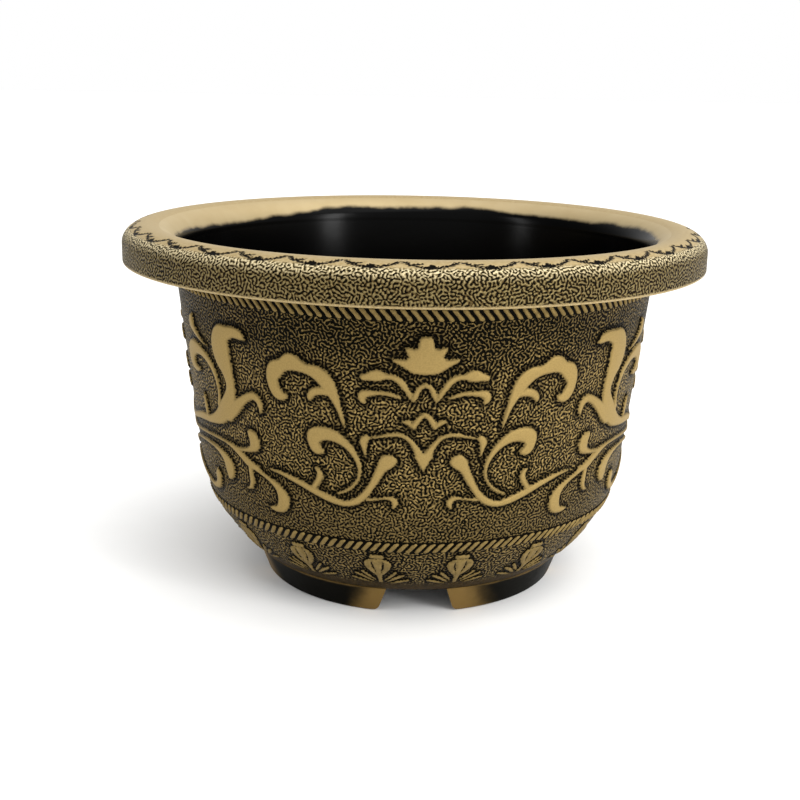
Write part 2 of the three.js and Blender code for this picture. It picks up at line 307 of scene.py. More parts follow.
DROP_OUTLINE = [
    (0, 85.6), (1.2, 87.8), (2.5, 90.5), (4.6, 93.3), (3.2, 94.2), (2.8, 96), (0, 95.3)]
SIDE_CREST_OUTLINE = [
    (180.64, 147), (178, 145.5), (176.4, 142), (175.6, 139), (172.4, 139.6), (170, 137.8),
    (172, 135.4), (175.6, 133.6), (178.4, 131.6), (180.64, 129)]

BUD_OUTLINE = [
    (0, 37.7), (3.2, 37.7), (5.6, 36.9), (7.2, 35.2), (7.3, 33.2), (6.2, 30.8), (3.8, 28.2),
    (1.5, 26.2), (1.1, 23.5), (1.2, 20.6), (0, 20.6)]
BUD_CAP = [(0, 40.3), (3.4, 40.3), (4.0, 39.4), (3.3, 38.1), (0, 38.1)]
BUD_SLOTS = [
    [(2.6, 37.2, .1), (3.0, 34.8, .5), (2.7, 32.2, .6), (1.9, 29.8, .4), (1.2, 28, .1)]]
BUD_LEAVES = [
    [(2.8, 22.6, .3), (6.3, 25.6, .7), (9.6, 28.6, .7)],
    [(4.2, 21.4, .3), (8.8, 24.2, .8), (13.8, 26.8, .7)],
    [(6, 20.2, .3), (11.5, 21.8, .7), (17, 23.2, .5)]]


def curve_points(knots, steps=6):
    """Runs a smooth curve through a stroke's knots."""
    k = np.array(knots, float)
    k = np.vstack([2 * k[0] - k[1], k, 2 * k[-1] - k[-2]])
    out = []
    for a, b, c, d in zip(k, k[1:], k[2:], k[3:]):
        for t in np.linspace(0, 1, steps, endpoint=False):
            out.append(0.5 * (2 * b + (c - a) * t + (2 * a - 5 * b + 4 * c - d) * t ** 2
                              + (3 * b - a - 3 * c + d) * t ** 3))
    out.append(k[-2])
    out = np.array(out)
    out[:, 2] = np.maximum(out[:, 2], 0.05)
    return out


class ReliefField:
    """How far each spot of the unrolled pattern lies from a raised shape, below zero inside it."""

    def __init__(self, wide, low, high, step):
        self.step, self.wide, self.low = step, wide, low
        self.across = np.arange(0, wide + step, step)
        self.up = np.arange(low, high + step, step)
        self.gap = np.full((len(self.up), len(self.across)), FAR)

    def window(self, points, reach):
        a0, a1 = np.searchsorted(self.across, [points[:, 0].min() - reach, points[:, 0].max() + reach])
        u0, u1 = np.searchsorted(self.up, [points[:, 1].min() - reach, points[:, 1].max() + reach])
        return slice(u0, u1), slice(a0, a1)

    def mirrors(self, points):
        """The shape itself, and its images in the two mirror lines of the pattern."""
        for sign, shift in ((1, 0), (-1, 0), (-1, 2 * self.wide)):
            image = points.copy()
            image[:, 0] = sign * image[:, 0] + shift
            if image[:, 0].max() > -FAR and image[:, 0].min() < self.wide + FAR:
                yield image

    def stroke(self, knots):
        """Adds a tapering stroke."""
        for points in self.mirrors(curve_points(knots)):
            for start, stop in zip(points, points[1:]):
                rows, cols = self.window(np.array([start, stop]), FAR)
                if rows.start == rows.stop or cols.start == cols.stop:
                    continue
                x = self.across[cols][None, :] - start[0]
                y = self.up[rows][:, None] - start[1]
                run = stop[:2] - start[:2]
                t = np.clip((x * run[0] + y * run[1]) / max(run @ run, 1e-9), 0, 1)
                gap = np.hypot(x - t * run[0], y - t * run[1]) - (start[2] + t * (stop[2] - start[2]))
                self.gap[rows, cols] = np.minimum(self.gap[rows, cols], gap)

    def outline(self, half):
        """Adds a closed shape from one half of its outline, mirrored at the end it starts from."""
        half = np.array(half, float)
        other = half[::-1].copy()
        other[:, 0] = 2 * half[0, 0] - other[:, 0]
        ring = np.vstack([half, other])
        for points in self.mirrors(ring):
            rows, cols = self.window(points, FAR)
            if rows.start == rows.stop or cols.start == cols.stop:
                continue
            x = self.across[cols][None, :]
            y = self.up[rows][:, None]
            gap = np.full((y.shape[0], x.shape[1]), FAR)
            inside = np.zeros_like(gap, bool)
            for a, b in zip(points, np.roll(points, -1, axis=0)):
                run = b - a
                t = np.clip(((x - a[0]) * run[0] + (y - a[1]) * run[1]) / max(run @ run, 1e-9), 0, 1)
                gap = np.minimum(gap, np.hypot(x - a[0] - t * run[0], y - a[1] - t * run[1]))
                if a[1] != b[1]:
                    crosses = (a[1] > y) != (b[1] > y)
                    inside ^= crosses & (x < a[0] + (y - a[1]) * run[0] / run[1])
            self.gap[rows, cols] = np.minimum(self.gap[rows, cols], np.where(inside, -gap, gap))

    def sample(self, across, up):
        """Reads the field at any place of the endless pattern."""
        period = 2 * self.wide
        folded = np.abs((across + self.wide) % period - self.wide)
        a = np.clip(folded / self.step, 0, len(self.across) - 1.001)
        u = (up - self.low) / self.step
        known = (u >= 0) & (u < len(self.up) - 1)
        u = np.clip(u, 0, len(self.up) - 1.001)
        ai, ui = a.astype(int), u.astype(int)
        af, uf = a - ai, u - ui
        g = self.gap
        low = g[ui, ai] * (1 - af) + g[ui, ai + 1] * af
        high = g[ui + 1, ai] * (1 - af) + g[ui + 1, ai + 1] * af
        return np.where(known, low * (1 - uf) + high * uf, FAR)


def relief(gap, height, edge):
    """Height of a raised shape: a flat top that swells a little, with a shallow groove round it."""
    rise = height * smooth_step(0.5 - gap / edge)
    swell = 0.3 * height * (1 - np.exp(np.minimum(gap, 0) / 2.2))
    groove = 0.22 * height * np.exp(-((gap - 0.9) / 0.7) ** 2) * (gap > -0.5)
    return rise + swell - groove


# ---- Meshes ----

def turned(angle, radius, height):
    """Places in millimetres of points at an angle from the front, counter-clockwise seen from above."""
    return np.stack([radius * np.sin(angle), -radius * np.cos(angle), height + 0 * radius], -1)


def ring_grid(profile, columns=ROUND_COLUMNS):
    """Angles round the pot up to a full turn, and the angle, radius and height of every point."""
    angle = np.linspace(0, 2 * math.pi, columns + 1)
    grid_angle, radius = np.meshgrid(angle[:-1], profile[:, 0])
    return angle, grid_angle, radius, np.repeat(profile[:, 1:2], columns, axis=1)


def lattice(name, points, strips=1, closed=False, row_share=None, grain=None, paint=None, normals=None):
    """Makes a mesh from rows and columns of points in millimetres, with its own bake map.

    The columns run round the pot and the rows run along the profile. closed joins the last
    column to the first. The bake map cuts the piece into strips, one above the other.
    """
    rows, cols = points.shape[:2]
    spans = cols if closed else cols - 1
    r, c = np.meshgrid(np.arange(rows - 1), np.arange(spans), indexing="ij")
    r, c = r.ravel(), c.ravel()
    corner_rows = np.stack([r, r, r + 1, r + 1], 1)
    corner_cols = np.stack([c, c + 1, c + 1, c], 1)
    corners = corner_rows * cols + corner_cols % cols
    mesh = bpy.data.meshes.new(name)
    mesh.vertices.add(rows * cols)
    mesh.vertices.foreach_set("co", (points.reshape(-1, 3) * MM).astype(np.float32).ravel())
    mesh.loops.add(corners.size)
    mesh.loops.foreach_set("vertex_index", corners.astype(np.int32).ravel())
    mesh.polygons.add(len(corners))
    mesh.polygons.foreach_set("loop_start", np.arange(0, corners.size, 4, dtype=np.int32))
    mesh.polygons.foreach_set("use_smooth", np.ones(len(corners), bool))
    mesh.update(calc_edges=True)

    if row_share is None:
        row_share = np.linspace(0, 1, rows)
    per_strip = spans / strips
    strip = np.minimum((c / per_strip).astype(int), strips - 1)[:, None]
    across = 0.005 + 0.99 * (corner_cols - strip * per_strip) / per_strip
    up = (strip + 0.012 + 0.976 * row_share[corner_rows]) / strips
    bake = mesh.uv_layers.new(name="OFBake")
    bake.data.foreach_set("uv", np.stack([across, up], -1).astype(np.float32).ravel())
    if grain is not None:
        along, over = grain
        layer = mesh.uv_layers.new(name="Grain")
        pair = np.stack([along[corner_cols], over[corner_rows]], -1)
        layer.data.foreach_set("uv", pair.astype(np.float32).ravel())
    for key, values in (paint or {}).items():
        store = mesh.attributes.new(key, "FLOAT", "POINT")
        store.data.foreach_set("value", np.asarray(values, np.float32).ravel())
    if normals is not None:
        mesh.normals_split_custom_set_from_vertices(normals.reshape(-1, 3).tolist())
    mesh.uv_layers.active = bake
    return mesh


def outward_normals(points):
    """Unit normals of a closed lattice, so that pieces cut from it meet without a crease."""
    round_way = np.roll(points, -1, axis=1) - np.roll(points, 1, axis=1)
    up_way = np.gradient(points, axis=0)
    normal = np.cross(round_way, up_way)
    return normal / np.linalg.norm(normal, axis=-1, keepdims=True)


def folded_arc(angle, radius):
    """Arc length that runs out to each side and back behind the pot, so the grain has no seam."""
    quarter = math.pi / 2
    wrapped = (angle + math.pi) % (2 * math.pi) - math.pi
    folded = np.where(np.abs(wrapped) <= quarter, wrapped, np.sign(wrapped) * math.pi - wrapped)
    return folded * radius


def place(name, mesh, material, nodes):
    """Shows a finished mesh in place of its solids and lets it ride on the pot."""
    piece = bpy.data.objects.new(name, mesh)
    bpy.context.scene.collection.objects.link(piece)
    if material is not None:
        mesh.materials.append(material)
    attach(piece, "root")
    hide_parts(*nodes)


# ---- Materials ----

def add(tree, kind, inputs=None, **settings):
    """Adds one node with its settings, and links or sets what goes into it."""
    node = tree.nodes.new(kind)
    for key, value in settings.items():
        setattr(node, key, value)
    for key, value in (inputs or {}).items():
        if isinstance(value, bpy.types.Node):
            tree.links.new(value.outputs[0], node.inputs[key])
        elif isinstance(value, bpy.types.NodeSocket):
            tree.links.new(value, node.inputs[key])
        else:
            node.inputs[key].default_value = value
    return node


def opaque(colour):
    return (*colour, 1.0)


def blank_material(name):
    material = bpy.data.materials.new(name)
    material.use_nodes = True
    material.node_tree.nodes.clear()
    return material, material.node_tree


def finish_surface(tree, colour, rough, bump, painted=None, metal=0.35, shine=0.02):
    """Ends a material in a plastic or paint surface.

    rough is one number, or a source with the range it is read over and the roughness at each end.
    bump is a source, a strength and a height in metres. painted says where there is paint, and
    metal how metallic that is. shine is low where grain breaks reflections up.
    """
    if isinstance(rough, tuple):
        source, low, high, at_low, at_high = rough
        rough = add(tree, RANGE, {
            "Value": source, "From Min": low, "From Max": high, "To Min": at_low, "To Max": at_high})
    source, strength, height = bump
    normal = add(tree, "ShaderNodeBump", {"Strength": strength, "Distance": height, "Height": source})
    surface = add(tree, "ShaderNodeBsdfPrincipled", {
        "Base Color": colour, "Roughness": rough, "Normal": normal, "IOR": 1.5, "Specular IOR Level": shine})
    if painted is not None:
        metallic = add(tree, MATH, {0: painted, 1: metal}, operation="MULTIPLY")
        tree.links.new(metallic.outputs[0], surface.inputs["Metallic"])
    add(tree, "ShaderNodeOutputMaterial", {"Surface": surface})


def crinkle(tree):
    """The crinkled mould grain: a maze of ridges one grain pitch apart, as a place and a height."""
    place_on = add(tree, "ShaderNodeUVMap", uv_map="Grain")
    drift = add(tree, NOISE, {"Vector": place_on, "Scale": 0.22, "Detail": 1.0}, **FLAT)
    centred = add(tree, "ShaderNodeVectorMath", {
        0: drift.outputs["Color"], 1: (0.5, 0.5, 0.5)}, operation="SUBTRACT")
    warped = add(tree, "ShaderNodeVectorMath", {
        0: centred, 1: (1.6, 1.6, 0.0), 2: place_on}, operation="MULTIPLY_ADD")
    pitch = sizes().grain_pitch / MM
    waves_per_cell = 1.7
    weave = add(tree, "ShaderNodeTexGabor", {
        "Vector": warped, "Scale": 1 / (pitch * waves_per_cell), "Frequency": waves_per_cell,
        "Anisotropy": 0.0, "Orientation": 0.6}, gabor_type="2D")
    turn = add(tree, MATH, {0: weave.outputs["Phase"], 1: 2 * math.pi}, operation="MULTIPLY")
    wave = add(tree, MATH, {0: turn}, operation="COSINE")
    grain = add(tree, RANGE, {"Value": wave, "From Min": -1.0})
    return place_on, grain


def wiped_grain(tree, above, speck, thick):
    """Paint on the grain by height: none in a groove, brown on its side, brass on the ridge."""
    tone = colours()
    wiped = add(tree, MATH, {0: speck, 1: 0.16, 2: above}, operation="MULTIPLY_ADD")
    side = add(tree, RANGE, {
        "Value": wiped, "From Min": -0.04, "From Max": 0.16}, **SMOOTH)
    crest = add(tree, RANGE, {
        "Value": wiped, "From Min": 0.16, "From Max": 0.62}, **SMOOTH)
    patchy = add(tree, RANGE, {
        "Value": speck, "From Min": 0.34, "From Max": 0.66, "To Min": 0.15},
        **SMOOTH)
    crest = add(tree, MATH, {0: crest, 1: patchy}, operation="MULTIPLY")
    crest = add(tree, MATH, {0: crest, 1: thick}, operation="MULTIPLY")
    brown = add(tree, MIX, {
        "Fac": side, "Color1": tone.plastic, "Color2": tone.worn_brass})
    return add(tree, MIX, {"Fac": crest, "Color1": brown, "Color2": tone.brass})


def ragged_edge(tree, gap, grain, share, start, stop):
    """Fades in between two distances from a shape's edge, which a share of the grain makes ragged."""
    ragged = add(tree, MATH, {0: grain, 1: share, 2: gap.outputs["Fac"]}, operation="MULTIPLY_ADD")
    return add(tree, RANGE, {"Value": ragged, "From Min": start, "From Max": stop}, **SMOOTH)


def standing_grain(tree, grain, flat):
    """The grain's height where nothing flattens it."""
    bare = add(tree, MATH, {0: 1.0, 1: flat}, operation="SUBTRACT")
    return add(tree, MATH, {0: grain, 1: bare}, operation="MULTIPLY")


def rubbed_wall_paint():
    """Black ABS moulded with a crinkled grain and scrolls, brass paint wiped over the high spots.

    It gives the eye a dark wall alive with small brass worms, flat brass scrolls, and a black
    painted shadow round each scroll over plastic the wiping cloth could not reach.
    """
    material, tree = blank_material("brass_rubbed_crinkled_plastic")
    tone = colours()
    place_on, grain = crinkle(tree)
    gap = add(tree, ATTRIBUTE, attribute_name="scroll_gap")
    height = add(tree, "ShaderNodeSeparateXYZ", {"Vector": place_on}).outputs["Y"]
    plate = ragged_edge(tree, gap, grain, -0.5, 0.0, -0.5)
    cloud = add(tree, NOISE, {"Vector": place_on, "Scale": 0.06, "Detail": 3.0}, **FLAT)
    # painted shade: a dark band beside each scroll takes paint off the grain and mixes the ground towards
    # black plastic
    reach = add(tree, MATH, {
        0: cloud, 1: 5.0, 2: sizes().shade_halo_width / MM - 2.8}, operation="MULTIPLY_ADD")
    painted_shade_halo = add(tree, RANGE, {
        "Value": gap.outputs["Fac"], "From Min": 0.5, "From Max": reach,
        "To Min": 0.3, "To Max": 0.0}, **SMOOTH)
    shadow = add(tree, MATH, {0: painted_shade_halo, 1: 2.2}, operation="MULTIPLY")
    # painted shadow under the rim: less paint on the grain towards the top of the wall
    shade = add(tree, RANGE, {
        "Value": height, "From Min": 120.0, "From Max": 150.0, "To Max": 0.3}, **SMOOTH)
    lift = add(tree, MATH, {0: cloud, 1: -0.36, 2: 0.60}, operation="MULTIPLY_ADD")
    lift = add(tree, MATH, {0: lift, 1: painted_shade_halo}, operation="ADD")
    threshold = add(tree, MATH, {0: lift, 1: shade}, operation="ADD")
    above = add(tree, MATH, {0: grain, 1: threshold}, operation="SUBTRACT")
    ridge = add(tree, RANGE, {"Value": above, "From Min": -0.04, "From Max": 0.2}, **SMOOTH)
    speck = add(tree, NOISE, {"Vector": place_on, "Scale": 0.5, "Detail": 3.0}, **FLAT)
    thick = add(tree, RANGE, {"Value": height, "From Min": 56.0, "From Max": 84.0, "To Min": 0.45}, **SMOOTH)
    ground = wiped_grain(tree, above, speck, thick)
    ground = add(tree, MIX, {"Fac": shadow, "Color1": ground, "Color2": tone.plastic})
    # the scrolls show wear in fine mottles, and darken along their rounded edges as painted shade
    mottle = add(tree, NOISE, {"Vector": place_on, "Scale": 1.3, "Detail": 4.0}, **FLAT)
    thin = add(tree, RANGE, {"Value": mottle, "From Min": 0.35, "From Max": 0.7, "To Max": 0.22})
    rounded = add(tree, RANGE, {
        "Value": gap.outputs["Fac"], "From Min": -1.3, "From Max": 0.1, "To Max": 0.45}, **SMOOTH)
    wear_and_edge_shade = add(tree, MATH, {0: thin, 1: rounded}, operation="ADD")
    scroll = add(tree, MIX, {"Fac": wear_and_edge_shade, "Color1": tone.brass, "Color2": tone.worn_brass})
    colour = add(tree, MIX, {"Fac": plate, "Color1": ground, "Color2": scroll})
    painted = add(tree, MATH, {0: ridge, 1: plate}, operation="MAXIMUM")
    high = add(tree, MATH, {
        0: mottle, 1: 0.05, 2: standing_grain(tree, grain, plate)}, operation="MULTIPLY_ADD")
    finish_surface(tree, colour, (painted, 0.0, 1.0, 0.42, 0.5), (high, 1.0, GRAIN_DEPTH), painted)
    return material


def rubbed_rim_paint():
    """The same plastic and paint on the rim, with painted highlight on the roll, painted shade on the skirt.

    It gives the eye broad brass ridges with thin black grooves, a smooth brass band with an
    engraved row of leaves next to the mouth, and a bright line along the skirt's lower edge.
    """
    material, tree = blank_material("brass_rubbed_rim_plastic")
    tone = colours()
    place_on, grain = crinkle(tree)
    leaf = add(tree, ATTRIBUTE, attribute_name="leaf_gap")
    # roll marks the rim's upward-facing roll, drawn pale as painted highlight; the skirt below it is drawn
    # darker as painted shade
    smooth, edge, roll = (add(tree, ATTRIBUTE, attribute_name=key).outputs["Fac"]
                          for key in ("smooth_band", "edge_line", "roll"))
    cloud = add(tree, NOISE, {"Vector": place_on, "Scale": 0.05, "Detail": 3.0}, **FLAT)
    threshold = add(tree, MATH, {0: cloud, 1: -0.2, 2: 0.33}, operation="MULTIPLY_ADD")
    above = add(tree, MATH, {0: grain, 1: threshold}, operation="SUBTRACT")
    # painted highlight: the roll keeps paint on more of its grain
    above = add(tree, MATH, {0: roll, 1: 0.14, 2: above}, operation="MULTIPLY_ADD")
    ridge = add(tree, RANGE, {"Value": above, "From Min": -0.06, "From Max": 0.1}, **SMOOTH)
    kept = add(tree, MATH, {0: ridge, 1: smooth}, operation="MAXIMUM")
    lined = add(tree, MATH, {0: kept, 1: edge}, operation="MAXIMUM")
    uncut = ragged_edge(tree, leaf, grain, 0.5, 0.2, 0.75)
    painted = add(tree, MATH, {0: lined, 1: uncut}, operation="MINIMUM")
    speck = add(tree, NOISE, {"Vector": place_on, "Scale": 0.5, "Detail": 3.0}, **FLAT)
    crest = add(tree, RANGE, {"Value": above, "From Min": 0.14, "From Max": 0.8}, **SMOOTH)
    # lit and shaded copies of the ridge paint: thin is the skirt's, darkened as painted shade, and thick is
    # the roll's, paled as painted highlight
    thin = add(tree, MIX, {"Fac": crest, "Color1": tone.smoke, "Color2": tone.rubbed_brass})
    thick = add(tree, MIX, {"Fac": crest, "Color1": tone.rubbed_brass, "Color2": tone.painted_highlight_brass})
    ridges = add(tree, MIX, {"Fac": roll, "Color1": thin, "Color2": thick})
    flat = add(tree, MATH, {0: smooth, 1: edge}, operation="MAXIMUM")
    band = add(tree, MIX, {"Fac": speck, "Color1": tone.brass, "Color2": tone.polished_brass})
    paint = add(tree, MIX, {"Fac": flat, "Color1": ridges, "Color2": band})
    colour = add(tree, MIX, {"Fac": painted, "Color1": tone.plastic, "Color2": paint})
    high = add(tree, MATH, {
        0: uncut, 1: 0.6, 2: standing_grain(tree, grain, flat)}, operation="MULTIPLY_ADD")
    finish_surface(tree, colour, (speck, 0.2, 0.8, 0.4, 0.52), (high, 1.0, GRAIN_DEPTH), painted)
    return material


def rope_paint():
    """The rope bands: the wiping cloth left paint on each strand's crest and none between them.

    It gives the eye a row of slanting brass bars on black.
    """
    material, tree = blank_material("brass_rubbed_rope_plastic")
    tone = colours()
    spot = add(tree, "ShaderNodeTexCoord").outputs["Object"]
    crest = add(tree, ATTRIBUTE, attribute_name="crest")
    wear = add(tree, NOISE, {"Vector": spot, "Scale": 420.0, "Detail": 3.0})
    uneven = add(tree, MATH, {0: wear, 1: 0.7, 2: crest.outputs["Fac"]}, operation="MULTIPLY_ADD")
    painted = add(tree, RANGE, {"Value": uneven, "From Min": 0.74}, **SMOOTH)
    paint = add(tree, MIX, {"Fac": wear, "Color1": tone.worn_brass, "Color2": tone.brass})
    colour = add(tree, MIX, {"Fac": painted, "Color1": tone.plastic, "Color2": paint})
    finish_surface(tree, colour, (wear, 0.2, 0.8, 0.38, 0.55), (wear, 0.4, 0.0002), painted)
    return material


def overspray_paint(name):
    """Smooth plastic in the mouth with sprayed brass that thins out downwards into black.

    It gives the eye a brass lip with a soft, cloudy, uneven lower edge, and gloss black below.
    """
    material, tree = blank_material(name)
    tone = colours()
    spot = add(tree, "ShaderNodeTexCoord").outputs["Object"]
    depth = add(tree, ATTRIBUTE, attribute_name="depth")
    wide_cloud = add(tree, NOISE, {"Vector": spot, "Scale": 14.0})
    fine_cloud = add(tree, NOISE, {"Vector": spot, "Scale": 90.0, "Detail": 4.0})
    swing = add(tree, MATH, {0: wide_cloud, 1: 9.0, 2: depth.outputs["Fac"]}, operation="MULTIPLY_ADD")
    ragged = add(tree, MATH, {0: fine_cloud, 1: 3.0, 2: swing}, operation="MULTIPLY_ADD")
    # the spray came from the right, so it reaches deeper on the left
    sideways = add(tree, "ShaderNodeSeparateXYZ", {"Vector": spot})
    drift = add(tree, RANGE, {
        "Value": sideways, "From Min": -0.02, "From Max": -0.1, "To Max": -2.6}, **SMOOTH)
    ragged = add(tree, MATH, {0: ragged, 1: drift}, operation="ADD")
    cloud_middle = 6.0
    reach = sizes().overspray_depth / MM + cloud_middle
    covered = add(tree, RANGE, {"Value": ragged, "From Min": reach + 1.2, "From Max": reach - 1.4}, **SMOOTH)
    warm = add(tree, MIX, {"Fac": fine_cloud, "Color1": tone.polished_brass, "Color2": tone.brass})
    pale = add(tree, MIX, {"Fac": 0.5, "Color1": warm, "Color2": tone.polished_brass})
    colour = add(tree, MIX, {"Fac": covered, "Color1": opaque(hex_linear("020202")), "Color2": pale})
    finish_surface(
        tree, colour, (covered, 0.0, 1.0, 0.19, 0.5), (fine_cloud, 0.15, 0.0003), covered, 0.3, 0.06)
    return material


def gloss_black_plastic():
    """Bare black ABS straight from a polished mould, slightly wavy.

    It gives the eye a deep black floor with soft, stretched reflections.
    """
    material, tree = blank_material("gloss_black_plastic_floor")
    spot = add(tree, "ShaderNodeTexCoord").outputs["Object"]
    stretch = add(tree, "ShaderNodeMapping", {"Vector": spot, "Scale": (1.0, 1.0, 0.15)})
    flow = add(tree, NOISE, {"Vector": stretch, "Scale": 60.0, "Detail": 3.0})
    dust = add(tree, NOISE, {"Vector": spot, "Scale": 300.0, "Detail": 3.0})
    colour = add(tree, MIX, {
        "Fac": dust, "Color1": opaque(hex_linear("050505")), "Color2": opaque(hex_linear("100f0e"))})
    finish_surface(tree, colour, (flow, 0.25, 0.75, 0.24, 0.36), (flow, 0.2, 0.0004))
    return material


def smoky_foot_paint():
    """Smooth plastic foot with brass dust sprayed beside each notch, brightened there as painted light.

    It gives the eye a black foot that warms to dull brass at its corners and upper edge.
    """
    material, tree = blank_material("smoky_brass_on_plastic")
    tone = colours()
    spot = add(tree, "ShaderNodeTexCoord").outputs["Object"]
    notch_dust_and_painted_light = add(tree, ATTRIBUTE, attribute_name="notch_dust_and_painted_light")
    cloud = add(tree, NOISE, {"Vector": spot, "Scale": 55.0, "Detail": 4.0})
    fine = add(tree, NOISE, {"Vector": spot, "Scale": 420.0, "Detail": 3.0})
    amount = add(tree, MATH, {0: cloud, 1: 0.7, 2: notch_dust_and_painted_light.outputs["Fac"]}, operation="MULTIPLY_ADD")
    covered = add(tree, RANGE, {"Value": amount, "From Min": 0.45, "From Max": 1.15}, **SMOOTH)
    warm = add(tree, MIX, {"Fac": fine, "Color1": tone.smoke, "Color2": tone.worn_brass})
    # painted light: the notch corners are made brighter than the dust alone
    dust = add(tree, MIX, {"Fac": covered, "Color1": warm, "Color2": tone.brass_dust_and_painted_light})
    colour = add(tree, MIX, {"Fac": covered, "Color1": tone.plastic, "Color2": dust})
    finish_surface(tree, colour, (cloud, 0.25, 0.75, 0.34, 0.5), (fine, 0.2, 0.0002), covered, 0.3, 0.03)
    return material


def pale_floor_paint():
    """Matt white studio paper with a faint tooth."""
    material, tree = blank_material("white_studio_paper")
    spot = add(tree, "ShaderNodeTexCoord").outputs["Object"]
    tooth = add(tree, NOISE, {"Vector": spot, "Scale": 30.0, "Detail": 3.0})
    colour = add(tree, MIX, {
        "Fac": tooth, "Color1": opaque(hex_linear("ececeb")), "Color2": opaque(hex_linear("f0f0ef"))})
    finish_surface(tree, colour, 0.9, (tooth, 0.05, 0.0005))
    return material


# ---- Pieces ----

def rim_profile():
    """The rim's section in three runs: under the hollow, round the skirt's edge, over the crown."""
    wide, tall = RIM_RADIUS - CREST_RADIUS, RIM_TOP - CROWN_SEAM
    lip_tall = RIM_TOP - WALL_TOP
    edge = SKIRT_BOTTOM + EDGE_ROUND
    outer = np.vstack([
        [(RIM_RADIUS, edge), (RIM_RADIUS, CROWN_SEAM)],
        quarter_arc(CREST_RADIUS, CROWN_SEAM, wide, tall, 0, 90, 40)[1:],
        quarter_arc(CREST_RADIUS, WALL_TOP, CREST_RADIUS - THROAT_RADIUS, lip_tall, 90, LIP_SEAM, 12)[1:]])
    under = np.vstack([
        quarter_arc(CREST_RADIUS, WALL_TOP, CREST_RADIUS - UNDER_LIP_RADIUS, lip_tall - RIM_THICKNESS,
                    180, 90, 14),
        quarter_arc(CREST_RADIUS, CROWN_SEAM, wide - RIM_THICKNESS, tall - RIM_THICKNESS, 90, 0, 12)[1:],
        [(RIM_RADIUS - RIM_THICKNESS, edge)]])
    half = RIM_THICKNESS / 2
    lower_edge = quarter_arc(RIM_RADIUS - half, edge, half, EDGE_ROUND, 180, 360, 9)
    return under, lower_edge[1:-1], outer


def leaf_gap(angle, radius):
    """Distance in millimetres from the lines of the leaf row, one leaf to every ten degrees."""
    step = math.radians(10)
    across = ((angle + step / 2) % step - step / 2) * 143
    inward = LEAF_TIP_RADIUS - radius
    arch = np.abs(np.hypot(across / 2.3, inward - 5.6) - 4.9) - 0.35
    arch = np.maximum(arch, inward - 5.0)
    notch = np.maximum(0.6 * (np.abs(across) - 3.8 + 1.5 * inward), -inward)
    beside = across + 6.4
    vein = np.maximum(
        np.abs(inward - 2.6 - 0.22 * beside) - 0.6 + 0.12 * np.abs(beside), np.abs(beside) - 3.2)
    return np.minimum(np.minimum(arch, notch), vein)


def build_inside(name, profile, columns, strips, finish, nodes):
    """Turns a profile into a smooth piece of the inside, sprayed from the mouth down."""
    _, grid_angle, radius, height = ring_grid(profile, columns)
    points = turned(grid_angle, radius, height)
    mesh = lattice(name, points, strips=strips, closed=True, paint={"depth": RIM_TOP - height})
    place(name, mesh, overspray_paint(finish), nodes)


def build_rim():
    under, lower_edge, outer = rim_profile()
    under = even_spacing(under, 2.2)
    profile = np.vstack([under, lower_edge, even_spacing(outer, 0.85)])
    first_outer = len(under) + len(lower_edge)
    run = run_length(profile)
    # the hidden underside takes little of the bake map
    hidden, little = run[first_outer], 0.14
    share = np.where(
        run < hidden, little * run / hidden, little + (1 - little) * (run - hidden) / (run[-1] - hidden))
    angle, grid_angle, radius, height = ring_grid(profile)
    row = np.arange(len(profile))[:, None]
    on_top = (row >= first_outer) & (height > CROWN_SEAM)
    in_row = on_top & (radius > LEAF_TIP_RADIUS - 6.5) & (radius < LEAF_TIP_RADIUS + 1.5)
    leaf = np.where(in_row, np.clip(leaf_gap(grid_angle, radius), -1, 3), 3)
    smooth = np.where(row < first_outer, 0.0, smooth_step((LEAF_TIP_RADIUS + 0.8 - radius) / 1.6))
    line = np.where(row >= len(under), smooth_step((SKIRT_BOTTOM + 1.3 - height) / 0.5), 0)
    # painted light: marks the upward-facing roll for painted highlight and leaves the skirt below in painted
    # shade
    roll = smooth_step((height - 177.5) / 6.0) * (row >= len(under))
    engraving_depth = 0.25
    height = height - engraving_depth * smooth_step(0.5 - leaf / 0.8) * (leaf < 2.5)
    mesh = lattice(
        "rolled_rim", turned(grid_angle, radius, height), strips=4, closed=True, row_share=share,
        grain=(folded_arc(angle, 145.0), run),
        paint={"smooth_band": smooth, "edge_line": line, "leaf_gap": leaf, "roll": roll})
    place("rolled_rim", mesh, rubbed_rim_paint(), ["rim_crown", "rim_skirt"])


def build_lip():
    over = quarter_arc(
        CREST_RADIUS, WALL_TOP, CREST_RADIUS - THROAT_RADIUS, RIM_TOP - WALL_TOP, LIP_SEAM, 180, 26)
    heights = np.linspace(WALL_TOP, LINING_TOP, 12)[1:]
    down = np.column_stack([inner_radius(heights), heights])
    profile = even_spacing(np.vstack([over, down]), 1.1)
    build_inside("mouth_lip", profile, 520, 4, "brass_overspray_on_plastic",
                 ["mouth_collar"])


def build_lining():
    heights = np.linspace(LINING_TOP, FLOOR_TOP + 0.2, 90)
    profile = np.column_stack([inner_radius(heights), heights])
    build_inside("bowl_lining", profile, 360, 3, "gloss_black_plastic_below_overspray",
                 ["bowl_wall", "bowl_base"])


